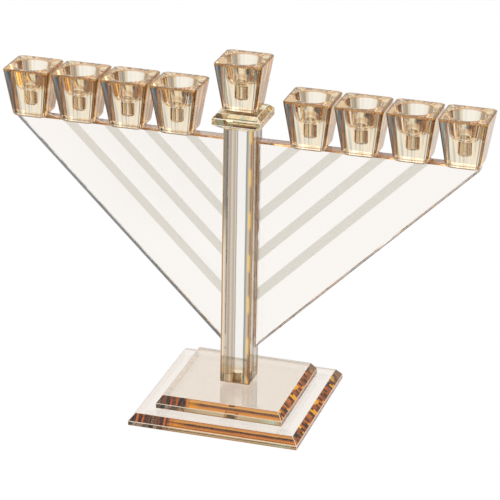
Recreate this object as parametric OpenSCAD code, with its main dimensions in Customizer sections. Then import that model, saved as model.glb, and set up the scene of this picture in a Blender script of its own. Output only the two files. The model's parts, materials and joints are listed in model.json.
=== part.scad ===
// Nine-light crystal menorah: a stepped square base, a square column, a collar plate under the raised
// shamash cup, and two triangular side panels that carry four candle cups each.
// All pieces are cut or pressed glass, bonded face to face. Millimetres, +Z up, +X along the row of
// cups, +Y to the back. The origin is on the resting surface, under the middle of the base.

/* [Base] */
// Width of the square lower plate
lower_plate_w = 120; // [110:1:200]
// Thickness of the lower plate
lower_plate_h = 8.4; // [6:0.1:20]
// Height of the lower plate's upright edge, below its bevel
lower_edge_h = 3.2; // [1:0.1:5]
// Width of the lower plate's bevel, seen from above
lower_bevel = 4.2; // [1:0.1:8]
// Width of the square upper plate
upper_plate_w = 90; // [60:1:100]
// Thickness of the upper plate
upper_plate_h = 9.2; // [8:0.1:20]
// Height of the upper plate's upright edge, below its bevel
upper_edge_h = 3.6; // [1:0.1:6]
// Width of the upper plate's bevel, seen from above
upper_bevel = 3.8; // [1:0.1:8]

/* [Feet] */
// Diameter of each bumper foot
foot_d = 10; // [6:0.5:16]
// Thickness of each bumper foot
foot_h = 1.2; // [0.8:0.1:3]
// Distance from the lower plate's side to a foot's rim
foot_inset = 8; // [2:0.5:25]

/* [Column] */
// Width of the square column
column_w = 21.4; // [16:0.2:30]
// Length of the column
column_h = 186; // [140:1:260]
// How far the column stands behind the middle of the base
column_setback = 2.6; // [0:0.1:10]
// Polished chamfer along the column's four upright edges
column_chamfer = 0.8; // [0.3:0.1:2]

/* [Locating dowel] */
// Diameter of the dowel between the column and the base
dowel_d = 9; // [4:0.5:12]
// Depth of the dowel in the column, and in the upper plate
dowel_depth = 6; // [3:0.5:7]
// Gap all round the dowel, filled by the bond
dowel_clearance = 0.1; // [0.05:0.05:0.3]

/* [Collar plate] */
// Width of the square collar plate
collar_w = 34; // [30:0.5:50]
// Height of the collar's lower bevel, which tapers down to the column
collar_lower_h = 4.2; // [2:0.1:8]
// Height of the collar's upright edge
collar_edge_h = 4.8; // [2:0.1:12]
// Height and width of the collar's upper bevel
collar_upper_bevel = 3.2; // [1:0.1:4]

/* [Panels] */
// Thickness of both triangular panels
panel_t = 10; // [8:0.5:16]
// Distance from the column's top down to the panels' top edge
panel_top_drop = 10.6; // [2:0.5:30]
// Height of the panels' lowest corner above the base
panel_foot_rise = 23.5; // [10:0.5:60]
// Distance from the panels' back face forward to the column's back face
panel_back_inset = 0.6; // [0:0.1:4]
// Panel length past the face on which the outer cup stands
panel_tip_margin = 1; // [0.5:0.5:10]
// Height of the blunt end at the panel's outer tip
panel_tip_h = 2.4; // [2:0.1:6]
// Polished chamfer along the panels' edges
panel_chamfer = 1; // [0.4:0.1:2]

/* [Candle cups] */
// Width of a cup at its rim
cup_rim_w = 33.4; // [28:0.2:44]
// Width of a cup at its foot
cup_foot_w = 22.4; // [20:0.2:28]
// Height of a cup
cup_h = 35; // [28:0.2:50]
// Height of the bevel round a cup's foot
cup_foot_bevel_h = 3; // [1:0.1:5]
// Width of the bevel round a cup's foot
cup_foot_bevel = 1.6; // [0.5:0.1:3]
// How much is taken off each upright corner, across the corner
cup_corner_cut = 1.3; // [0.5:0.1:3]
// Width of the small bevel round the rim
cup_rim_bevel = 0.8; // [0.3:0.1:1.5]
// Gap between neighbouring cups at the rim
cup_gap = 1.6; // [0.5:0.1:10]
// Gap between the collar and the nearest cup's rim
collar_cup_gap = 12.8; // [2:0.2:30]
// Cups on each side
cups_per_side = 4; // [4]

/* [Bowl and candle socket] */
// Diameter of the bowl at the rim
bowl_rim_d = 25; // [18:0.5:27]
// Diameter of the bowl just above its rounded floor
bowl_floor_d = 21; // [14:0.5:24]
// Depth of the bowl
bowl_depth = 16; // [6:0.5:18]
// Radius between the bowl's wall and its floor
bowl_floor_r = 6; // [1:0.5:8]
// Diameter of the candle socket
socket_d = 9.6; // [7:0.2:12]
// Depth of the candle socket below the bowl's floor
socket_depth = 10.5; // [6:0.5:14]

/* [Hidden] */
SIDE_CUPS = ["cup_1", "cup_2", "cup_3", "cup_4", "cup_5", "cup_6", "cup_7", "cup_8"];
$fn = 64;

// Facet angle of the arc between the bowl's wall and its floor
arc_step = 18;
// Cutters run this far past the faces that they cut
through = 1;

// Levels, from the resting surface up
lower_plate_z = foot_h;
upper_plate_z = lower_plate_z + lower_plate_h;
column_z = upper_plate_z + upper_plate_h;
collar_z = column_z + column_h;
collar_h = collar_lower_h + collar_edge_h + collar_upper_bevel;
shamash_z = collar_z + collar_h;
panel_top_z = collar_z - panel_top_drop;
panel_foot_z = column_z + panel_foot_rise;

// Places along Y: the panels sit near the column's back face and the side cups stand on the panels
column_y = column_setback;
panel_y = column_y + column_w / 2 - panel_back_inset - panel_t / 2;

// Places along X: the cups' pitch, the innermost cup and the panels' length from the column's side
cup_pitch = cup_rim_w + cup_gap;
inner_cup_x = collar_w / 2 + collar_cup_gap + cup_rim_w / 2;
outer_cup_x = inner_cup_x + (cups_per_side - 1) * cup_pitch;
panel_l = outer_cup_x + cup_foot_w / 2 - cup_foot_bevel + panel_tip_margin - column_w / 2;

// Where each side cup stands, from the far left to the far right
side_cup_x = [
    for (i = [0 : 2 * cups_per_side - 1])
        i < cups_per_side ? i * cup_pitch - outer_cup_x : (i - cups_per_side) * cup_pitch + inner_cup_x
];

// A solid with four equal sides. side lists [half width, height] from the bottom up.
module four_sided(side) {
    mirrored = [for (i = [len(side) - 1 : -1 : 0]) [-side[i][0], side[i][1]]];
    length = 2 * max([for (p = side) p[0]]) + 2 * through;
    intersection() {
        rotate([90, 0, 0]) linear_extrude(height = length, center = true) polygon(concat(side, mirrored));
        rotate([90, 0, 90]) linear_extrude(height = length, center = true) polygon(concat(side, mirrored));
    }
}

// A square plate with an upright edge and a bevel round its top
module bevelled_plate(width, height, edge_h, bevel) {
    half = width / 2;
    four_sided([[half, 0], [half, edge_h], [half - bevel, height]]);
}

// The hole for the dowel, from one piece's bonded face, a little past the face on the other side
module dowel_hole(direction) {
    depth = dowel_depth + dowel_clearance;
    low = direction > 0 ? -through : -depth;
    translate([0, column_y, column_z + low]) cylinder(d = dowel_d + 2 * dowel_clearance, h = depth + through);
}

module bumper_feet() {
    reach = lower_plate_w / 2 - foot_inset - foot_d / 2;
    color([0.85, 0.87, 0.86])
        for (x = [-reach, reach], y = [-reach, reach])
            translate([x, y, 0]) cylinder(d = foot_d, h = foot_h);
}

module lower_base_plate() {
    color([0.93, 0.90, 0.86])
        translate([0, 0, lower_plate_z])
            bevelled_plate(lower_plate_w, lower_plate_h, lower_edge_h, lower_bevel);
}

module upper_base_plate() {
    color([0.92, 0.88, 0.84])
        difference() {
            translate([0, 0, upper_plate_z])
                bevelled_plate(upper_plate_w, upper_plate_h, upper_edge_h, upper_bevel);
            dowel_hole(-1);
        }
}

module locating_dowel() {
    color([0.93, 0.86, 0.66])
        translate([0, column_y, column_z - dowel_depth]) cylinder(d = dowel_d, h = 2 * dowel_depth);
}

// The column's cross-section, a square with its corners chamfered
module column_section() {
    half = column_w / 2;
    flat = half - column_chamfer;
    polygon([
        [-flat, -half], [flat, -half], [half, -flat], [half, flat],
        [flat, half], [-flat, half], [-half, flat], [-half, -flat]
    ]);
}

module column() {
    color([0.78, 0.76, 0.72])
        difference() {
            translate([0, column_y, column_z]) linear_extrude(height = column_h) column_section();
            dowel_hole(1);
        }
}

module collar_plate() {
    half = collar_w / 2;
    upper_z = collar_lower_h + collar_edge_h;
    color([0.82, 0.73, 0.52])
        translate([0, column_y, collar_z])
            four_sided([
                [column_w / 2, 0], [half, collar_lower_h], [half, upper_z], [half - collar_upper_bevel, collar_h]
            ]);
}

// The panel's triangle: its upright edge is on the column, its tip points along +X
module panel_outline() {
    polygon([
        [0, panel_foot_z], [panel_l, panel_top_z - panel_tip_h], [panel_l, panel_top_z], [0, panel_top_z]
    ]);
}

// The panel at the right of the column. Its outline keeps its full size between the two chamfers.
module panel_body() {
    translate([column_w / 2, panel_y, 0])
        rotate([90, 0, 0])
            hull() {
                linear_extrude(height = panel_t - 2 * panel_chamfer, center = true) panel_outline();
                linear_extrude(height = panel_t, center = true) offset(delta = -panel_chamfer) panel_outline();
            }
}

module right_panel() {
    color([0.96, 0.95, 0.94]) panel_body();
}

module left_panel() {
    color([0.96, 0.95, 0.94]) mirror([1, 0, 0]) panel_body();
}

// The half outline of a cup's bowl: a tapered wall, an arc and a flat floor
function bowl_outline() = concat(
    [[0, cup_h + through], [bowl_rim_d / 2, cup_h + through], [bowl_rim_d / 2, cup_h]],
    [for (a = [0 : arc_step : 90])
        [bowl_floor_d / 2 - bowl_floor_r * (1 - cos(a)), cup_h - bowl_depth + bowl_floor_r * (1 - sin(a))]],
    [[0, cup_h - bowl_depth]]
);

// The cup's sides as [half width, height], shared by its flat faces and its rounded corners
function cup_side(extra) = [
    [cup_foot_w / 2 - cup_foot_bevel + extra, 0],
    [cup_foot_w / 2 + extra, cup_foot_bevel_h],
    [cup_rim_w / 2 + extra, cup_h - cup_rim_bevel],
    [cup_rim_w / 2 - cup_rim_bevel + extra, cup_h]
];

// A cone that takes the upright corners off the square cup
module corner_cone() {
    side = cup_side(0);
    outline = [for (p = side) [p[0] * sqrt(2) - cup_corner_cut, p[1]]];
    rotate_extrude() polygon(concat([[0, 0]], outline, [[0, cup_h]]));
}

// A square tapered glass with a round bowl and a narrower candle socket, standing at z = 0
module cup() {
    difference() {
        intersection() {
            four_sided(cup_side(0));
            corner_cone();
        }
        rotate_extrude() polygon(bowl_outline());
        translate([0, 0, cup_h - bowl_depth - socket_depth])
            cylinder(d = socket_d, h = socket_depth + through);
    }
}

module side_cup(index) {
    color([0.87, 0.76, 0.58]) translate([side_cup_x[index], panel_y, panel_top_z]) cup();
}

module shamash_cup() {
    color([0.87, 0.76, 0.58]) translate([0, column_y, shamash_z]) cup();
}

bumper_feet();
lower_base_plate();
upper_base_plate();
locating_dowel();
column();
collar_plate();
left_panel();
right_panel();
for (i = [0 : len(SIDE_CUPS) - 1])
    side_cup(i);
shamash_cup();
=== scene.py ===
# %% [markdown]
# # A bonded glass menorah
# The real object is made of cut and pressed glass: a stepped square base, a square column, two
# triangular side panels and nine square candle cups. The frame below holds each piece's true size and
# place. Everything visible is then built on that frame, piece by piece, and given its finish.

# %% The frame
import json
import math

import bmesh
import bpy
from mathutils import Matrix, Vector

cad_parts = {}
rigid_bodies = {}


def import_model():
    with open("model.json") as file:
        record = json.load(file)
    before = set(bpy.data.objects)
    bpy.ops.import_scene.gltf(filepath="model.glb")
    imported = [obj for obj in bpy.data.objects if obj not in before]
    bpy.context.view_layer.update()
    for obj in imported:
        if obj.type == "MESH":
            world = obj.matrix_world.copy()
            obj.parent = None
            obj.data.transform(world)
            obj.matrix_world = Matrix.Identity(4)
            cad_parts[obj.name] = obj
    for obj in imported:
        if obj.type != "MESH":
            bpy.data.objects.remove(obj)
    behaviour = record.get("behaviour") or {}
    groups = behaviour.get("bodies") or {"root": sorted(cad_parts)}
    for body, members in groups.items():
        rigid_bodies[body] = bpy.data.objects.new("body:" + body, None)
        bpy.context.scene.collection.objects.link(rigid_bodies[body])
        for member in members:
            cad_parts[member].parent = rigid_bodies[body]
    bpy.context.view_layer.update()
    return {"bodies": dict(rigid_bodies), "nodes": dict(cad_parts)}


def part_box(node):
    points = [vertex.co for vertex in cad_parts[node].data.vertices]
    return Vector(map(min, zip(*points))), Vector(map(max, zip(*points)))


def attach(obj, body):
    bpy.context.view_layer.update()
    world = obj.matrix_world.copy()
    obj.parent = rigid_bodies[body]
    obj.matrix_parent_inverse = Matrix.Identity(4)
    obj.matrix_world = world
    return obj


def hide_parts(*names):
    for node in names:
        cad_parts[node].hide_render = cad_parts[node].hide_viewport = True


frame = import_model()
MM = 0.001
ROOT = list(frame["bodies"])[0]
CUPS = [f"cup_{number}" for number in range(1, 9)] + ["shamash_cup"]

# %% [markdown]
# ## The camera and the table
# Cut glass looks best from a distance through a long lens, so that upright edges stay nearly parallel.
# A camera can be typed in as a place and three angles, but those say little to a reader. Here it is
# placed on a sphere round a point near the middle of the object, by its direction and its height above
# the horizon, and then rolled by one degree.

# %% Camera
CAMERA_AZIMUTH = 16.42
CAMERA_ELEVATION = 22.67
CAMERA_ROLL = 1.03
CAMERA_DISTANCE = 1.7936
CAMERA_TARGET = Vector((0.0072, 0.0, 0.1165))
CAMERA_LENS = 189.8


def place_camera():
    """A camera that looks at the target from its place on the sphere."""
    azimuth = math.radians(CAMERA_AZIMUTH)
    elevation = math.radians(CAMERA_ELEVATION)
    level = math.cos(elevation)
    away = Vector((math.sin(azimuth) * level, -math.cos(azimuth) * level, math.sin(elevation)))
    camera = bpy.data.objects.new("camera", bpy.data.cameras.new("camera"))
    bpy.context.scene.collection.objects.link(camera)
    camera.location = CAMERA_TARGET + away * CAMERA_DISTANCE
    turn = (-away).to_track_quat("-Z", "Y").to_matrix().to_4x4()
    roll = Matrix.Rotation(math.radians(CAMERA_ROLL), 4, "Z")
    camera.rotation_euler = (turn @ roll).to_euler()
    camera.data.lens = CAMERA_LENS
    camera.data.clip_end = 20
    bpy.context.scene.camera = camera
    return camera


camera = place_camera()
print("camera at", [round(value, 3) for value in camera.location])

# %% [markdown]
# ## Shader sums
# Procedural finishes are long chains of small sums. Each could be made as a node by hand, but that is
# hard to read, so this class wraps a socket and lets a finish be written as plain arithmetic. Every
# other node comes from its one `node` method.


# %% The wire class
class Wire:
    """One output socket of a shader tree. Arithmetic on it adds Math nodes."""

    def __init__(self, socket):
        self.socket = socket

    @classmethod
    def node(cls, tree, kind, settings=None, inputs=None, output=0):
        """Any node: its settings are set first, and then the values or links of its sockets."""
        made = tree.nodes.new("ShaderNode" + kind)
        for name, value in (settings or {}).items():
            if name == "stops":
                elements = made.color_ramp.elements
                while len(elements) > 1:
                    elements.remove(elements[-1])
                elements[0].position = value[0][0]
                for place, _ in value[1:]:
                    elements.new(place)
                for element, (_, colour) in zip(elements, value):
                    element.color = (*colour, 1)
            elif name == "interpolation":
                made.color_ramp.interpolation = value
            else:
                setattr(made, name, value)
        for name, value in (inputs or {}).items():
            if isinstance(value, Wire):
                tree.links.new(value.socket, made.inputs[name])
            else:
                made.inputs[name].default_value = value
        return cls(made.outputs[output])

    def math(self, operation, *others):
        inputs = dict(enumerate((self, *others)))
        return Wire.node(self.socket.id_data, "Math", {"operation": operation}, inputs)

    def __add__(self, other):
        return self.math("ADD", other)

    def __mul__(self, other):
        return self.math("MULTIPLY", other)

    def __sub__(self, other):
        return self.math("SUBTRACT", other)

    def __truediv__(self, other):
        return self.math("DIVIDE", other)

    __radd__ = __add__
    __rmul__ = __mul__

    def __rsub__(self, other):
        return (self * -1) + other

    def clamp(self):
        return Wire.node(self.socket.id_data, "Clamp", {}, {0: self})

    def above(self, edge, soft):
        """0 below edge, 1 above it, with a soft step between."""
        return ((self - edge) / soft + 0.5).clamp()

    def between(self, low, high, soft):
        """1 between low and high, 0 outside."""
        return self.above(low, soft) * (1 - self.above(high, soft))

    def blend(self, first, second):
        """The colour first where this is 0, and second where it is 1."""
        tree = self.socket.id_data
        return Wire.node(tree, "Mix", {"data_type": "RGBA"}, {0: self, 6: first, 7: second}, output=2)


print("shader sums ready")

# %% [markdown]
# ## Light
# Clear glass has almost no colour of its own: it shows what stands round it. A glass studio stands the
# object on a lit white table and puts dark, amber and grey cards round it, outside the view, and those
# cards become the dark outlines and warm edges inside the glass. Real cards could be modelled as
# boards. Here they are painted by compass direction, on the table away from the object and on the
# walls, because that is one ramp to tune. The camera itself only sees plain white, by the Light Path
# node.


# %% The cards round the table
def colour(red, green, blue):
    """A colour as the four numbers that a socket takes."""
    return (red, green, blue, 1.0)


WHITE = (1.0, 1.0, 1.0)
CARDS = [
    (0.000, (0.95, 0.93, 0.90)),
    (0.080, (0.05, 0.035, 0.025)),
    (0.115, (1.60, 0.95, 0.25)),
    (0.150, (1.00, 0.93, 0.80)),
    (0.200, (0.06, 0.03, 0.015)),
    (0.235, (1.80, 0.85, 0.12)),
    (0.275, (1.60, 1.20, 0.50)),
    (0.320, (0.12, 0.05, 0.02)),
    (0.350, (1.60, 1.05, 0.30)),
    (0.385, (0.10, 0.06, 0.03)),
    (0.405, WHITE),
    (0.520, WHITE),
    (0.540, (0.30, 0.35, 0.38)),
    (0.585, (0.05, 0.07, 0.08)),
    (0.635, (0.60, 0.20, 0.05)),
    (0.665, (0.95, 0.90, 0.82)),
    (0.710, (0.03, 0.02, 0.015)),
    (0.760, (0.90, 0.50, 0.15)),
    (0.800, (0.93, 0.95, 0.97)),
    (0.850, (0.20, 0.22, 0.25)),
    (0.900, (1.00, 0.70, 0.35)),
    (0.950, (0.95, 0.93, 0.90)),
]


def cards(tree, x, y):
    """The cards' colour. 0.5 is straight behind the object and larger numbers are further right."""
    turn = x.math("ARCTAN2", y) / math.tau + 0.5
    stops = {"interpolation": "EASE", "stops": CARDS}
    return Wire.node(tree, "ValToRGB", stops, {0: turn})


def parts(tree, vector):
    """The three numbers of a vector."""
    return [Wire.node(tree, "SeparateXYZ", {}, {0: vector}, output=axis) for axis in range(3)]


print("cards", len(CARDS))

# %% World and floor
FLOOR_REACH = 1.5
CARDS_START = 0.33
CEILING_START = 0.55
ONE_PANE = 2.5


def sees_white(tree):
    """1 for the camera itself and for what it sees straight through one flat pane, else 0."""
    bounces = Wire.node(tree, "LightPath", output="Ray Depth")
    return 1 - bounces.above(ONE_PANE, 0.1)


def make_world():
    """White above, and the cards all round."""
    world = bpy.data.worlds.new("studio")
    world.use_nodes = True
    tree = world.node_tree
    tree.nodes.clear()
    x, y, z = parts(tree, Wire.node(tree, "TexCoord", output="Generated"))
    ceiling = z.above(CEILING_START, 0.25)
    room = ceiling.blend(cards(tree, x, y), colour(1.1, 1.1, 1.1))
    shown = sees_white(tree).blend(room, colour(1, 1, 1))
    back = Wire.node(tree, "Background", {}, {"Color": shown, "Strength": 1.0})
    output = tree.nodes.new("ShaderNodeOutputWorld")
    tree.links.new(back.socket, output.inputs["Surface"])
    bpy.context.scene.world = world


def make_floor():
    """A glowing white table, with the cards' mirror images far from the object."""
    bpy.ops.mesh.primitive_circle_add(vertices=96, radius=FLOOR_REACH, fill_type="NGON")
    floor = bpy.context.object
    floor.name = "floor"
    material = bpy.data.materials.new("lit_table")
    material.use_nodes = True
    tree = material.node_tree
    tree.nodes.clear()
    place = Wire.node(tree, "TexCoord", output="Object")
    x, y, _ = parts(tree, place)
    away = Wire.node(tree, "VectorMath", {"operation": "LENGTH"}, {0: place}, output=1)
    carded = away.above(CARDS_START, 0.1) * (1 - sees_white(tree))
    shown = carded.blend(colour(1, 1, 1), cards(tree, x, y))
    glow = Wire.node(tree, "Emission", {}, {"Color": shown, "Strength": 1.0})
    output = tree.nodes.new("ShaderNodeOutputMaterial")
    tree.links.new(glow.socket, output.inputs["Surface"])
    floor.data.materials.append(material)


def add_lamp(name, location, aim, size, power):
    """A round soft lamp that points at aim."""
    lamp = bpy.data.objects.new(name, bpy.data.lights.new(name, "AREA"))
    bpy.context.scene.collection.objects.link(lamp)
    lamp.location = location
    lamp.rotation_euler = (Vector(aim) - Vector(location)).to_track_quat("-Z", "Y").to_euler()
    lamp.data.shape = "DISK"
    lamp.data.size = size
    lamp.data.energy = power


make_world()
make_floor()
add_lamp("ceiling_lamp", location=(0.2, -0.3, 2.2), aim=(0, 0, 0.1), size=1.8, power=12)
GLASS_BOUNCES = 40
scene = bpy.context.scene
scene.view_settings.view_transform = "Standard"
scene.cycles.max_bounces = GLASS_BOUNCES
scene.cycles.transmission_bounces = GLASS_BOUNCES
scene.cycles.glossy_bounces = GLASS_BOUNCES
scene.cycles.denoising_input_passes = "RGB"
print("world and floor made")

# %% [markdown]
# ## Glass
# The glass is nearly clear, with a little amber in its body, so it darkens with the length that light
# travels inside it: faces look pale, and edges, which are seen along the glass, look amber. A Volume
# Absorption node gives exactly this. The fine streaks that many inner mirror images make are too
# small for clean tracing, so they are added as a tint on the surface, which counts once, where light
# enters from outside. Where an inner mirror is strong, the surface is made partly metallic, so that
# it shines in its own colour. A piece has one glass finish only: light that goes in through one
# finish and out through another would never leave the amber body.


# %% Tints and patterns
DARKEST_CURVED = 10


def tint(red, green, blue):
    """A linear colour from the 0 to 255 numbers of a colour picker."""
    shares = []
    for part in (red, green, blue):
        curved = ((part / 255 + 0.055) / 1.055) ** 2.4
        shares.append(curved if part > DARKEST_CURVED else part / 3294)
    return tuple(shares)


def ramp(tree, place, stops, kind="LINEAR"):
    """A row of colours along place, from 0 to 1."""
    return Wire.node(tree, "ValToRGB", {"interpolation": kind, "stops": stops}, {0: place})


def noise(tree, place, scale, detail=2.0):
    """Soft fixed noise, mostly from 0.3 to 0.7."""
    inputs = {"Vector": place, "Scale": scale, "Detail": detail}
    return Wire.node(tree, "TexNoise", {"noise_dimensions": "3D"}, inputs)


def chance(tree, place, row=0.0):
    """A fixed random number for each whole number of place and row."""
    cell = point(tree, place.math("FLOOR"), row)
    return Wire.node(tree, "TexWhiteNoise", {"noise_dimensions": "2D"}, {"Vector": cell})


def times(tree, first, second):
    """Two colours multiplied."""
    settings = {"data_type": "RGBA", "blend_type": "MULTIPLY"}
    return Wire.node(tree, "Mix", settings, {0: 1.0, 6: first, 7: second}, output=2)


def millimetres(tree):
    """Where a point is on its own piece, as three numbers in millimetres."""
    place = Wire.node(tree, "TexCoord", output="Object")
    return [part * 1000 for part in parts(tree, place)]


def facing(tree):
    """The direction that a point's own face looks in, as three numbers."""
    return parts(tree, Wire.node(tree, "TexCoord", output="Normal"))


def point(tree, x, y=0.0, z=0.0):
    """Three numbers or wires as one vector."""
    return Wire.node(tree, "CombineXYZ", {}, {0: x, 1: y, 2: z})


print("patterns ready")


# %% Glass and its edges
def glass(name, clear, body, density, paint=None, roughness=0.0, ior=1.5, rough=None, bump=None):
    """clear tints plain glass, and body and density say what it takes from light on its way through.

    paint(tree) gives a pattern, where it counts both ways, and where it mirrors. The last two may be None.
    """
    material = bpy.data.materials.new(name)
    material.use_nodes = True
    tree = material.node_tree
    shader = tree.nodes["Principled BSDF"]
    shader.inputs["Base Color"].default_value = colour(*clear)
    shader.inputs["Roughness"].default_value = roughness
    shader.inputs["IOR"].default_value = ior
    shader.inputs["Transmission Weight"].default_value = 1.0
    if paint:
        shown, both_ways, mirror = paint(tree)
        leaving = Wire.node(tree, "NewGeometry", output="Backfacing")
        if both_ways is not None:
            leaving = leaving * (1 - both_ways)
        strong = times(tree, shown, shown)
        if mirror is not None:
            strong = mirror.blend(strong, shown)
            tree.links.new((mirror * (1 - leaving)).socket, shader.inputs["Metallic"])
        surface = leaving.blend(strong, colour(*clear))
        tree.links.new(surface.socket, shader.inputs["Base Color"])
    if rough:
        tree.links.new(rough(tree).socket, shader.inputs["Roughness"])
    if bump:
        height = Wire.node(tree, "Bump", {}, {"Height": bump(tree), "Strength": 0.1, "Distance": 0.0002})
        tree.links.new(height.socket, shader.inputs["Normal"])
    absorb = Wire.node(tree, "VolumeAbsorption", {}, {"Color": colour(*body), "Density": density})
    tree.links.new(absorb.socket, tree.nodes["Material Output"].inputs["Volume"])
    return material


def land(name, finish, roughness=0.15, far=None):
    """A narrow polished edge that shows as a thin line; on the cut pieces its pale colour is a painted
    highlight. far is its colour on the left and back edges, a painted darker reflection.
    """
    material = bpy.data.materials.new(name)
    material.use_nodes = True
    tree = material.node_tree
    shader = tree.nodes["Principled BSDF"]
    shader.inputs["Roughness"].default_value = roughness
    shader.inputs["Coat Weight"].default_value = 1.0
    place = Wire.node(tree, "TexCoord", output="Object")
    grain = noise(tree, place, 220.0)
    dark = tuple(part * 0.85 for part in finish)
    shown = grain.above(0.5, 0.3).blend(colour(*dark), colour(*finish))
    if far:
        x, y, _ = millimetres(tree)
        shown = (y - x).above(0.0, 1.0).blend(shown, colour(*far))
    tree.links.new(shown.socket, shader.inputs["Base Color"])
    return material


print("glass ready")

# %% [markdown]
# ## Base glass
# A ray that enters a bevel zigzags between the top and the bottom of the plate, right across to the far
# side. So the long bevels show level bands, and the side bevels, where rays meet many corners, a mosaic
# of slanted chips. Traced alone, both come out as grey noise, so both are drawn from the distance along
# the side and the height up the bevel, over the traced glass.

# %% Bevel paints
BODY = (0.80, 0.55, 0.20)
BODY_DENSITY = 10
PLATE_TOP = tint(247, 244, 241)
PLATE_CLEAR = (0.97, 0.96, 0.945)
STREAK_WIDTH = 1.4
CHIP_WIDTH = 2.7
CHIP_SLANT = 2.6


def bevel_end(tree, along, half):
    """1 over the dark fifth at the left of a long bevel, and the streaks of colour in it."""
    streak = chance(tree, along / STREAK_WIDTH)
    dark = 1 - along.above(-half * 0.50, half * 0.10)
    shown = ramp(tree, streak, [
        (0.0, tint(84, 66, 62)), (0.30, tint(112, 86, 74)), (0.50, tint(146, 104, 78)),
        (0.68, tint(232, 134, 70)), (0.78, tint(92, 80, 82)), (0.90, tint(166, 164, 170)),
    ], "CONSTANT")
    return dark, shown


def long_bevel(tree, x, y, up, half):
    """Level bands of amber and brown, with the dark left end."""
    along = x * y.math("SIGN") * -1
    wave = noise(tree, point(tree, x * 0.04, up), 2.0) * 0.16 - 0.08
    bands = ramp(tree, up + wave, [
        (0.00, tint(250, 202, 116)), (0.16, tint(240, 180, 98)), (0.34, tint(216, 152, 90)),
        (0.46, tint(120, 88, 68)), (0.60, tint(134, 96, 72)), (0.68, tint(250, 218, 140)),
        (0.76, tint(234, 182, 122)), (1.00, tint(240, 190, 132)),
    ])
    flare = along.between(-half * 0.56, -half * 0.36, half * 0.14) * (1 - up).clamp()
    bands = flare.blend(bands, colour(*tint(255, 190, 40)))
    dark, streaks = bevel_end(tree, along, half)
    return dark.blend(bands, streaks)


def side_bevel(tree, x, y, up, half):
    """A mosaic of slanted chips, quieter towards the back corner."""
    along = y * x.math("SIGN")
    slant = along + up * CHIP_SLANT + chance(tree, along / 7) * 1.5
    row = chance(tree, slant / CHIP_WIDTH) + up * 1.6
    chip = chance(tree, slant / CHIP_WIDTH, row.math("FLOOR"))
    chips = ramp(tree, chip, [
        (0.00, tint(72, 42, 24)), (0.18, tint(160, 84, 28)), (0.36, tint(104, 60, 30)),
        (0.52, tint(244, 170, 10)), (0.61, tint(198, 110, 26)), (0.74, tint(80, 48, 28)),
        (0.88, tint(250, 194, 40)), (0.93, tint(150, 100, 56)),
    ], "CONSTANT")
    quiet = ramp(tree, chip, [
        (0.0, tint(104, 76, 54)), (0.5, tint(156, 120, 88)), (1.0, tint(124, 94, 70)),
    ])
    shown = along.above(half * 0.72, half * 0.2).blend(chips, quiet)
    return up.above(0.08, 0.1).blend(colour(*tint(216, 130, 66)), shown)


def upright_edge(tree, x, z, half, low, high):
    """The low upright edge under the bevel: painted reflections, pale with a blue-grey left end and a painted
    cyan-white highlight near the right end, and a brown line along its foot.
    """
    pale = ramp(tree, x / half * 0.5 + 0.5, [
        (0.0, tint(150, 160, 172)), (0.22, tint(176, 160, 140)), (0.34, tint(206, 204, 182)),
        (0.60, tint(214, 206, 190)), (0.80, tint(196, 198, 172)), (0.93, tint(200, 236, 232)),
        (1.0, tint(196, 160, 120)),
    ])
    up = (z - low) / (high - low)
    return up.above(0.22, 0.2).blend(colour(*tint(176, 118, 70)), pale)


def plate_paint(half, low, edge, high):
    """Clear top and bottom, a patterned bevel and a pale upright edge."""
    def paint(tree):
        x, y, z = millimetres(tree)
        face_x, face_y, face_z = facing(tree)
        up = (z - edge) / (high - edge)
        on_side = (face_x.math("ABSOLUTE") - face_y.math("ABSOLUTE")).above(0.0, 0.1)
        bevel = on_side.blend(long_bevel(tree, x, y, up, half), side_bevel(tree, x, y, up, half))
        shown = face_z.above(0.3, 0.1).blend(upright_edge(tree, x, z, half, low, edge), bevel)
        level = face_z.math("ABSOLUTE").above(0.9, 0.05)
        mirror = on_side * face_z.between(0.3, 0.9, 0.05) * 0.9
        return level.blend(shown, colour(*PLATE_TOP)), None, mirror
    return paint


print("base patterns ready")

# %% [markdown]
# ## Column glass
# A square column mirrors its own back edges several times over, which shows as upright streaks of
# cream, grey and brown with one clear white band. Noise could make streaks, but not in that order, so
# one ramp of streaks runs across each side, from left to right as it is seen. The foot is warmer,
# because the base's amber shows in it.

# %% Column paint
COLUMN_STREAKS = [
    (0.00, tint(166, 126, 78)), (0.050, tint(172, 136, 86)), (0.075, tint(252, 232, 204)),
    (0.120, tint(220, 206, 190)), (0.170, tint(230, 212, 178)), (0.205, tint(196, 200, 200)),
    (0.250, tint(180, 160, 142)), (0.290, tint(192, 176, 158)), (0.320, tint(212, 214, 202)),
    (0.370, tint(206, 186, 164)), (0.420, tint(196, 168, 144)), (0.445, tint(216, 216, 214)),
    (0.485, tint(160, 158, 152)), (0.510, tint(252, 246, 238)), (0.540, tint(250, 249, 247)),
    (0.745, tint(250, 249, 247)), (0.765, tint(252, 246, 234)), (0.785, tint(140, 140, 132)),
    (0.830, tint(160, 174, 178)), (0.870, tint(222, 202, 170)), (0.915, tint(194, 168, 138)),
    (0.945, tint(146, 104, 72)), (0.975, tint(190, 156, 116)), (1.0, tint(232, 232, 228)),
]
GOLD_HIGHLIGHT_PITCH = 31.0
WARM_TOP = 31.0
FOOT_LINE_TOP = 19.6


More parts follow.
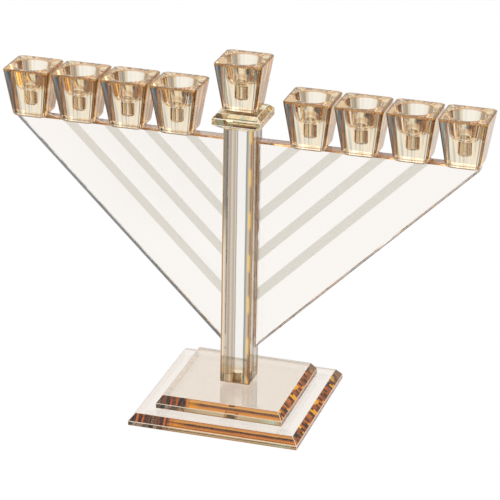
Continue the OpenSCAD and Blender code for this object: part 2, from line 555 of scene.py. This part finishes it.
def column_paint(half, middle_y):
    """Painted streaks on all four sides, with painted golden highlights, a warm foot painted as a reflection
    of the base's amber, and a brown line under it.
    """
    def paint(tree):
        x, y, z = millimetres(tree)
        y = y - middle_y
        front = (y.math("ABSOLUTE") - x.math("ABSOLUTE")).above(0.0, 0.1)
        across = front * (x * y.math("SIGN") * -1) + (1 - front) * (y * x.math("SIGN"))
        drift = noise(tree, point(tree, 0.0, z=z * 0.01), 2.0) * 0.6 - 0.3
        place = (across + drift) / (2 * half) + 0.5
        streaks = ramp(tree, place, COLUMN_STREAKS)
        # Painted golden highlights in short patches up the right part of each side.
        gold_reflection = place.between(0.86, 0.95, 0.04) * (z / GOLD_HIGHLIGHT_PITCH).math("FRACT").between(0.35, 0.75, 0.1)
        streaks = (gold_reflection * 0.8).blend(streaks, colour(*tint(250, 212, 130)))
        # The warm foot is a painted reflection of the base's amber.
        warm = 1 - z.above(WARM_TOP, 3.0)
        streaks = (warm * 0.45).blend(streaks, times(tree, streaks, colour(*tint(250, 214, 140))))
        rim = 1 - z.above(FOOT_LINE_TOP, 0.6)
        return rim.blend(streaks, colour(*tint(176, 116, 52))), None, rim * 0.8
    return paint


print("column streaks", len(COLUMN_STREAKS))

# %% [markdown]
# ## Panel glass
# Each panel has four satin stripes that run down beside its sloping edge. They could be separate thin
# bodies, but etching takes nothing measurable away, so they are a mask in the finish. Satin glass
# scatters light, so the stripes are a little darker and much rougher than the polished glass between
# them.

# %% Panel paints
PANEL_TIP = 162.1
PANEL_TOP = 194.2
PANEL_SLOPE = 0.9874
STRIPE_FIRST = 33.0
STRIPE_PITCH = 29.0
STRIPE_WIDTH = 9.2
STRIPE_ROUGHNESS = 0.34


def satin_stripes(tree):
    """1 on a stripe, by the distance in from the sloping edge."""
    x, _, z = millimetres(tree)
    inward = PANEL_TIP - (x.math("ABSOLUTE") + (PANEL_TOP - z) / PANEL_SLOPE)
    step = (inward - STRIPE_FIRST) / STRIPE_PITCH
    across = step.math("FRACT") * STRIPE_PITCH
    return across.between(0.0, STRIPE_WIDTH, 0.25) * step.between(0.0, 3.9, 0.01)


def satin_rough(tree):
    """Polished glass, and rough stripes."""
    return satin_stripes(tree) * STRIPE_ROUGHNESS


def panel_paint(tree):
    """Clear faces with satin stripes; the narrow faces carry painted reflections: a pinkish tan top edge, a
    little darker on the right panel, and brown lines on the chamfers, greyer on the left panel.
    """
    x, y, z = millimetres(tree)
    face_y = facing(tree)[1]
    pane = satin_stripes(tree).blend(colour(*tint(250, 247, 243)), colour(*tint(224, 219, 209)))
    streak = chance(tree, x / 3.1) * 0.25
    edge = ramp(tree, (y - 2.7) / 10 + streak - 0.12, [
        (0.0, tint(200, 146, 96)), (0.14, tint(240, 210, 172)), (0.45, tint(236, 208, 184)),
        (0.62, tint(214, 196, 190)), (0.85, tint(204, 194, 192)), (1.0, tint(226, 192, 156)),
    ])
    right = x.above(0.0, 1.0)
    edge = right.blend(edge, times(tree, edge, colour(*tint(232, 222, 220))))
    flat = face_y.math("ABSOLUTE")
    chamfer = flat.between(0.4, 0.9, 0.05)
    grey = ramp(tree, chance(tree, z / 2.3), [(0.0, tint(84, 84, 86)), (1.0, tint(132, 120, 106))])
    pale = ramp(tree, chance(tree, z / 2.3), [(0.0, tint(136, 134, 132)), (1.0, tint(184, 164, 142))])
    tan = ramp(tree, chance(tree, x / 1.7), [(0.0, tint(196, 144, 88)), (1.0, tint(228, 184, 132))])
    line = z.above(PANEL_TOP - 1.6, 0.3).blend(right.blend(grey, pale), tan)
    shown = flat.above(0.9, 0.05).blend(line, pane)
    return flat.above(0.4, 0.1).blend(edge, shown), None, chamfer * 0.8


print("panel patterns ready")

# %% [markdown]
# ## Collar glass
# The collar is thick and small, so its left and right facets show broken pieces of gold and brown,
# while the front and back facets stay pale. As on the bevels, the pattern goes by the direction that
# a facet looks in, so it holds from every side.

# %% Collar paint
COLLAR_CLEAR = (0.90, 0.85, 0.70)


def collar_paint(tree):
    """Painted reflections: golden and brown pieces on the side facets, pale greens and creams on the others.
    """
    x, y, z = millimetres(tree)
    face_x, face_y, face_z = facing(tree)
    on_side = (face_x.math("ABSOLUTE") - face_y.math("ABSOLUTE")).above(0.0, 0.1)
    along = on_side * y + (1 - on_side) * x
    place = point(tree, along * 0.22 + z * 0.1, z * 0.25, on_side * 5.0)
    streak = noise(tree, place, 1.0)
    gold_reflection = ramp(tree, streak, [
        (0.36, tint(88, 70, 46)), (0.43, tint(232, 172, 60)), (0.49, tint(246, 220, 150)),
        (0.54, tint(104, 84, 56)), (0.62, tint(222, 168, 70)), (0.68, tint(120, 118, 108)),
    ])
    pale = ramp(tree, streak, [
        (0.35, tint(206, 214, 204)), (0.5, tint(248, 242, 222)), (0.65, tint(228, 208, 164)),
    ])
    shown = on_side.blend(pale, gold_reflection)
    level = face_z.math("ABSOLUTE").above(0.9, 0.05)
    return level.blend(shown, colour(*tint(246, 240, 222))), None, on_side * (1 - level) * 0.7


print("collar pattern ready")

# %% [markdown]
# ## Finishes for the flat pieces
# Each flat piece takes one glass, and the plates and the collar also take an opaque polished edge. The
# rubber feet are hardly seen, so theirs is a cloudy glass with a grain. The dowel is a solid cream rod,
# because clear glass inside clear glass would vanish.

# %% Flat glass finishes
PLATE_LAND = land("plate_land", tint(236, 218, 198), far=tint(196, 160, 126))
lower_finishes = [
    glass("lower_plate_glass", PLATE_CLEAR, BODY, BODY_DENSITY,
          plate_paint(half=60, low=1.2, edge=4.4, high=9.6)),
    PLATE_LAND,
]
upper_finishes = [
    glass("upper_plate_glass", PLATE_CLEAR, BODY, BODY_DENSITY,
          plate_paint(half=45, low=9.6, edge=13.2, high=18.8)),
    PLATE_LAND,
]
column_finishes = [
    glass("column_glass", (1, 1, 1), (0.75, 0.65, 0.50), 8, column_paint(half=10.7, middle_y=2.6)),
]
AMBER = (0.92, 0.76, 0.42)
collar_finishes = [
    glass("collar_glass", COLLAR_CLEAR, AMBER, 18, collar_paint),
    land("collar_land", tint(250, 240, 220)),
]
panel_finishes = [glass("panel_glass", (1, 1, 1), (0.75, 0.62, 0.52), 2, panel_paint, rough=satin_rough)]
dowel_glass = land("dowel_glass", (1.0, 0.98, 0.88), 0.3)


def rubber_rough(tree):
    """A fine moulded grain."""
    return noise(tree, Wire.node(tree, "TexCoord", output="Object"), 900.0) * 0.2 + 0.2


bumper_rubber = glass("bumper_rubber", (0.95, 0.95, 0.95), (0.9, 0.9, 0.9), 5, ior=1.4, rough=rubber_rough)
print("flat glass finishes ready")

# %% [markdown]
# ## Cut pieces
# The plates, the column, the collar and the panels are flat cut glass. Their shapes are already right
# in the frame, but a cutter always breaks the sharp edges, and those narrow polished lands catch the
# light. Drawing each piece again would risk its size, so each is a copy of its frame solid with flat
# faces joined up, drawn in by a hair so that neighbours don't share a face, and with a small bevel on
# each edge.

# %% Cut glass
BOND_GAP = 0.04 * MM
JOIN_DISTANCE = 0.001 * MM
PLATE_LAND_WIDTH = 0.25 * MM
BLOCK_LAND_WIDTH = 0.3 * MM
PANEL_LAND_WIDTH = 0.15 * MM


def cut_piece(node, finishes, width):
    """Rebuilds a flat-sided piece. A second finish goes on its lands."""
    source = frame["nodes"][node]
    mesh = source.data.copy()
    mesh.materials.clear()
    for finish in finishes:
        mesh.materials.append(finish)
    piece = bpy.data.objects.new(node + "_glass", mesh)
    bpy.context.scene.collection.objects.link(piece)
    low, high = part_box(node)
    middle = (Vector(low) + Vector(high)) / 2
    size = Vector(high) - Vector(low)
    shape = bmesh.new()
    shape.from_mesh(mesh)
    bmesh.ops.remove_doubles(shape, verts=shape.verts, dist=JOIN_DISTANCE)
    bmesh.ops.dissolve_limit(shape, angle_limit=math.radians(1), verts=shape.verts, edges=shape.edges)
    for vertex in shape.verts:
        for axis in range(3):
            share = 1 - 2 * BOND_GAP / size[axis]
            vertex.co[axis] = middle[axis] + (vertex.co[axis] - middle[axis]) * share
    bmesh.ops.recalc_face_normals(shape, faces=shape.faces)
    for face in shape.faces:
        face.material_index = 0
        face.smooth = False
    shape.to_mesh(mesh)
    shape.free()
    bevel = piece.modifiers.new("lands", "BEVEL")
    bevel.width = width
    bevel.segments = 2
    bevel.limit_method = "ANGLE"
    bevel.angle_limit = math.radians(25)
    if len(finishes) > 1:
        bevel.material = len(finishes) - 1
    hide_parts(node)
    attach(piece, ROOT)
    return piece


cut_piece("lower_base_plate", lower_finishes, PLATE_LAND_WIDTH)
cut_piece("upper_base_plate", upper_finishes, PLATE_LAND_WIDTH)
cut_piece("column", column_finishes, BLOCK_LAND_WIDTH)
cut_piece("collar_plate", collar_finishes, BLOCK_LAND_WIDTH)
cut_piece("left_panel", panel_finishes, PANEL_LAND_WIDTH)
cut_piece("right_panel", panel_finishes, PANEL_LAND_WIDTH)
for node, finish in (("locating_dowel", dowel_glass), ("bumper_feet", bumper_rubber)):
    materials = frame["nodes"][node].data.materials
    materials.clear()
    materials.append(finish)
print("cut pieces made")

# %% [markdown]
# ## Cup glass
# A cup is thick glass with a round bowl in a square block, so each corner bends light hard: dark and
# gold lines run down the edges, the facet on the left looks like smoke, and the front stays pale.
# These lines are painted reflections, placed by height and by the distance across a side, so all nine cups
# share one finish.

# %% Cup outside
CUP_HEIGHT = 35.0
CUP_RIM_HALF = 16.7
CUP_FOOT_HALF = 11.2
BOWL_DEPTH = 16.0
SOCKET_DEPTH = 10.5
CHAMPAGNE = tint(247, 240, 224)
OUTLINE = tint(130, 88, 40)


def across_side(tree, x, y, half):
    """How far across its own side a point is, from -1 to 1, and 1 where that side faces left or right."""
    side = (x.math("ABSOLUTE") - y.math("ABSOLUTE")).above(0.0, 0.4)
    front = x * y.math("SIGN") * -1
    return (side * y * x.math("SIGN") + (1 - side) * front) / half, side


def cup_outside(tree):
    """The four sides' painted reflections: pale streaks in front, golden and dark lines at the edges, a
    smoke-grey left facet and a painted darker foot; and 1 where they mirror.
    """
    x, y, z = millimetres(tree)
    half = z * ((CUP_RIM_HALF - CUP_FOOT_HALF) / CUP_HEIGHT) + CUP_FOOT_HALF
    across, side = across_side(tree, x, y, half)
    lanes = point(tree, across * 4.0, z * 0.01, side * 7.0 + x.math("SIGN") * 3.0)
    streak = noise(tree, lanes, 1.6, 3.0)
    front = ramp(tree, streak, [
        (0.34, tint(206, 206, 202)), (0.42, tint(246, 238, 224)), (0.50, CHAMPAGNE),
        (0.57, tint(246, 226, 192)), (0.62, tint(214, 206, 194)), (0.70, tint(250, 247, 240)),
    ])
    wobble = noise(tree, point(tree, z * 0.09, x.math("SIGN")), 1.0) - 0.5
    flank = ramp(tree, across * 0.5 + 0.5 + wobble * 0.16, [
        (0.00, OUTLINE), (0.07, tint(206, 160, 92)), (0.15, tint(244, 232, 206)), (0.24, tint(222, 190, 138)),
        (0.31, tint(104, 82, 56)), (0.36, tint(230, 180, 90)), (0.50, tint(246, 204, 116)),
        (0.58, tint(132, 98, 58)), (0.64, tint(236, 184, 90)), (0.78, tint(206, 144, 66)),
        (0.88, tint(232, 214, 176)), (0.96, OUTLINE),
    ])
    shown = side.blend(front, flank)
    left = across * -1
    start = 0.90 - z * (0.30 / CUP_HEIGHT)
    inner_side = left.above(start, 0.06) * (1 - side)
    # The left facet gets a painted smoke-grey reflection, edged by painted orange and grey lines.
    smoke_grey_reflection = ramp(tree, streak, [
        (0.36, tint(132, 144, 150)), (0.45, tint(186, 196, 198)), (0.52, tint(104, 112, 116)),
        (0.60, tint(196, 168, 134)), (0.68, tint(96, 94, 92)),
    ])
    shown = inner_side.blend(shown, smoke_grey_reflection)
    orange_reflection_line = left.between(start - 0.03, start + 0.03, 0.03) * (1 - side)
    shown = (orange_reflection_line * 0.8).blend(shown, colour(*tint(206, 142, 84)))
    grey_line = left.between(start - 0.13, start - 0.09, 0.03) * (1 - side)
    shown = (grey_line * 0.6).blend(shown, colour(*tint(140, 132, 126)))
    dark_line = across.between(0.80, 0.835, 0.02) * (1 - side)
    shown = (dark_line * 0.8).blend(shown, colour(*tint(116, 94, 76)))
    gold_line = across.math("ABSOLUTE").above(0.895, 0.03)
    shown = gold_line.blend(shown, colour(*OUTLINE))
    shelf = z.between(2.7, 3.6, 0.4)
    shown = (shelf * 0.7).blend(shown, colour(*tint(164, 142, 138)))
    # Painted golden reflections along the top of the sides.
    spots = noise(tree, point(tree, across * 9.0, side), 1.0)
    top = z.above(33.7, 0.4)
    gold_reflection = ramp(tree, spots, [
        (0.35, tint(84, 58, 32)), (0.48, tint(176, 112, 46)), (0.56, tint(248, 190, 66)), (0.62, OUTLINE),
    ])
    shown = (top * 0.85).blend(shown, gold_reflection)
    # Painted shade: a darker brown band along the foot.
    foot = 1 - z.above(1.5, 0.6)
    lines = gold_line.math("MAXIMUM", foot).math("MAXIMUM", top)
    lines = lines.math("MAXIMUM", dark_line * 0.8).math("MAXIMUM", side * 0.5)
    lines = lines.math("MAXIMUM", inner_side * 0.5).math("MAXIMUM", orange_reflection_line * 0.6)
    return foot.blend(shown, colour(*tint(140, 98, 52))), lines


print("cup sides ready")


# %% Cup rim and bowl
def cup_rim(tree):
    """The flat rim, with painted reflections: fine rays that point at the middle of the bowl, and a dark
    outline along its border.
    """
    x, y, _ = millimetres(tree)
    turn = y.math("ARCTAN2", x)
    rays = noise(tree, point(tree, turn * 4.0, x.math("SIGN")), 1.6, 3.0)
    shown = ramp(tree, rays, [
        (0.34, tint(110, 88, 62)), (0.40, tint(228, 212, 176)), (0.50, tint(246, 238, 212)),
        (0.56, tint(224, 156, 66)), (0.60, tint(242, 230, 196)), (0.68, tint(130, 104, 74)),
    ])
    border = x.math("ABSOLUTE").math("MAXIMUM", y.math("ABSOLUTE")).above(CUP_RIM_HALF - 1.5, 0.5)
    return (border * 0.85).blend(shown, colour(*OUTLINE)), border


def cup_inside(tree):
    """The bowl and the socket: clear walls with painted reflections, darker at the thick corners, and painted
    brown contour lines where they curve.
    """
    x, y, z = millimetres(tree)
    turn = y.math("ARCTAN2", x)
    rays = noise(tree, point(tree, turn * 2.6, x.math("SIGN")), 1.6, 2.0)
    wall = ramp(tree, rays, [
        (0.32, tint(228, 216, 198)), (0.42, tint(252, 250, 244)),
        (0.56, tint(252, 246, 232)), (0.68, tint(216, 210, 202)),
    ])
    around = (x * x + y * y).math("SQRT")
    spread = (x.math("ABSOLUTE") - y.math("ABSOLUTE")).math("ABSOLUTE") / around
    corner = ramp(tree, rays, [
        (0.36, tint(104, 98, 92)), (0.46, tint(190, 150, 96)),
        (0.54, tint(96, 82, 70)), (0.62, tint(220, 204, 176)),
    ])
    thick = (1 - spread.above(0.34, 0.16)) * z.above(CUP_HEIGHT - BOWL_DEPTH + 4.0, 3.0)
    wall = (thick * 0.8).blend(wall, corner)
    floor_z = CUP_HEIGHT - BOWL_DEPTH
    curve = z.between(floor_z + 0.4, floor_z + 2.0, 0.6)
    mouth = z.between(floor_z - 1.0, floor_z - 0.1, 0.4)
    end = 1 - z.above(floor_z - SOCKET_DEPTH + 1.2, 0.8)
    lip = z.above(CUP_HEIGHT - 1.2, 0.6)
    shown = (curve * 0.6).blend(wall, colour(*tint(204, 156, 104)))
    shown = (mouth * 0.5).blend(shown, colour(*tint(190, 150, 104)))
    shown = (end * 0.5).blend(shown, colour(*tint(196, 162, 130)))
    return (lip * 0.7).blend(shown, colour(*tint(206, 152, 92)))


print("rim and bowl ready")


# %% Whole cup
def cup_paint(tree):
    """Outside, rim or bowl, by the distance from the middle and the height."""
    x, y, z = millimetres(tree)
    around = point(tree, x, y)
    away = Wire.node(tree, "VectorMath", {"operation": "LENGTH"}, {0: around}, output=1)
    in_bowl = 1 - away.above(12.9, 0.1)
    in_socket = 1 - away.above(5.5, 0.1)
    high = z.above(CUP_HEIGHT - BOWL_DEPTH - 0.4, 0.1)
    inside = in_bowl * high + in_socket * (1 - high) * z.above(2.0, 0.1)
    on_rim = z.above(CUP_HEIGHT - 0.35, 0.1)
    outside, lines = cup_outside(tree)
    rim, border = cup_rim(tree)
    on_rim = on_rim * (1 - inside)
    shown = on_rim.blend(inside.blend(outside, cup_inside(tree)), rim)
    socket = in_socket * inside * (1 - high)
    mirror = (1 - inside) * ((1 - on_rim) * lines + on_rim * border) * 0.7 + socket * 0.6
    return shown, inside, mirror


def cup_ripple(tree):
    """The slow waves that a mould leaves."""
    return noise(tree, Wire.node(tree, "TexCoord", output="Object"), 60.0)


cup_glass = glass("cup_glass", (0.99, 0.98, 0.96), AMBER, 11, cup_paint, bump=cup_ripple)
print("cup finish ready")

# %% [markdown]
# ## Pressed cups
# The cups are pressed in a mould, so every edge is softly rounded. A block with a hole cut by a boolean
# would shade badly there. So a cup is one loft: rings of equal point count run up the outside as
# rounded squares, over the rim, and down the bowl and the candle socket as circles. Because each ring
# has the same number of points, the faces between two rings are always clean quads.

# %% Cup sizes and outlines, in millimetres
CUP_POINTS_PER_SIDE = 10
CUP_POINTS_PER_CORNER = 8
FOOT_ROUND = 3.0
FOOT_INSET = 2.2
FOOT_CORNER = 3.2
RIM_ROUND = 0.9
RIM_CORNER = 3.4
LIP_ROUND = 1.0
BOWL_RIM_R = 12.5
BOWL_FLOOR_R = 10.5
BOWL_ROUND = 6.0
SOCKET_R = 4.8
SOCKET_MOUTH = 0.5
SOCKET_END_ROUND = 1.8


def arc(centre, radius, start, end, steps):
    """Points of a profile arc, angles in degrees from +X towards +Z."""
    points = []
    for step in range(steps + 1):
        angle = math.radians(start + (end - start) * step / steps)
        points.append((centre[0] + radius * math.cos(angle), centre[1] + radius * math.sin(angle)))
    return points


def square_ring(half, corner):
    """A rounded square's outline, the same number of points for any corner radius."""
    points = []
    flat = half - corner
    for quarter in range(4):
        turn = Matrix.Rotation(quarter * math.pi / 2, 2)
        for step in range(CUP_POINTS_PER_SIDE):
            share = step / CUP_POINTS_PER_SIDE
            points.append(turn @ Vector((half, -flat + 2 * flat * share)))
        for step in range(CUP_POINTS_PER_CORNER):
            angle = math.pi / 2 * step / CUP_POINTS_PER_CORNER
            points.append(turn @ Vector((flat + corner * math.cos(angle), flat + corner * math.sin(angle))))
    return points


def round_ring(radius, guide):
    """A circle, with its points in the same directions as a rounded square's."""
    return [Vector((radius * math.cos(a), radius * math.sin(a))) for a in guide]


print("points in a ring", len(square_ring(10, 3)))


# %% Cup rings
def cup_rings(height, rim_half, foot_half):
    """(outline, z) pairs from the middle of the foot to the end of the socket."""
    guide = [math.atan2(p.y, p.x) for p in square_ring(10, 3)]
    rings = []
    lean = -math.degrees(math.atan2(rim_half - foot_half, height))
    foot = arc((foot_half - FOOT_INSET, FOOT_ROUND), FOOT_ROUND, -90, lean, 6)
    for half, z in [(foot_half * 0.45, 0)] + foot:
        rings.append((square_ring(half, min(FOOT_CORNER, half * 0.35)), z))
    for half, z in arc((rim_half - RIM_ROUND, height - RIM_ROUND), RIM_ROUND, lean, 90, 5):
        rings.append((square_ring(half, RIM_CORNER), z))
    floor_z = height - BOWL_DEPTH
    for radius, z in arc((BOWL_RIM_R + LIP_ROUND, height - LIP_ROUND), LIP_ROUND, 90, 172, 5):
        rings.append((round_ring(radius, guide), z))
    for radius, z in arc((BOWL_FLOOR_R - BOWL_ROUND, floor_z + BOWL_ROUND), BOWL_ROUND, -8, -90, 12):
        rings.append((round_ring(radius, guide), z))
    return rings + socket_rings(guide, floor_z)


def socket_rings(guide, floor_z):
    """The candle socket, with a rounded mouth and a rounded end."""
    rings = []
    mouth = arc((SOCKET_R + SOCKET_MOUTH, floor_z - SOCKET_MOUTH), SOCKET_MOUTH, 90, 180, 4)
    centre = (SOCKET_R - SOCKET_END_ROUND, floor_z - SOCKET_DEPTH + SOCKET_END_ROUND)
    for radius, z in mouth + arc(centre, SOCKET_END_ROUND, 0, -90, 6):
        rings.append((round_ring(radius, guide), z))
    return rings


print("rings in a cup", len(cup_rings(CUP_HEIGHT, CUP_RIM_HALF, CUP_FOOT_HALF)))


# %% Cups
def make_cup(node):
    """One cup, lofted in its own place and moved to its node's place."""
    low, high = (Vector(corner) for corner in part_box(node))
    centre = (low + high) / 2
    height = (high.z - low.z) / MM - 2 * BOND_GAP / MM
    rim_half = (high.x - low.x) / 2 / MM
    shape = bmesh.new()
    loops = []
    for outline, z in cup_rings(height, rim_half, CUP_FOOT_HALF):
        loops.append([shape.verts.new((p.x * MM, p.y * MM, z * MM)) for p in outline])
    count = len(loops[0])
    for under, over in zip(loops, loops[1:]):
        for i in range(count):
            j = (i + 1) % count
            shape.faces.new((under[i], under[j], over[j], over[i]))
    shape.faces.new(list(reversed(loops[0])))
    shape.faces.new(loops[-1])
    for face in shape.faces:
        face.smooth = True
    bmesh.ops.recalc_face_normals(shape, faces=shape.faces)
    mesh = bpy.data.meshes.new(node + "_glass")
    shape.to_mesh(mesh)
    shape.free()
    mesh.materials.append(cup_glass)
    piece = bpy.data.objects.new(node + "_glass", mesh)
    piece.location = (centre.x, centre.y, low.z + BOND_GAP)
    bpy.context.scene.collection.objects.link(piece)
    weighted = piece.modifiers.new("even faces", "WEIGHTED_NORMAL")
    weighted.keep_sharp = True
    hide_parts(node)
    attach(piece, ROOT)
    return piece


for node in CUPS:
    make_cup(node)
print("cups made")
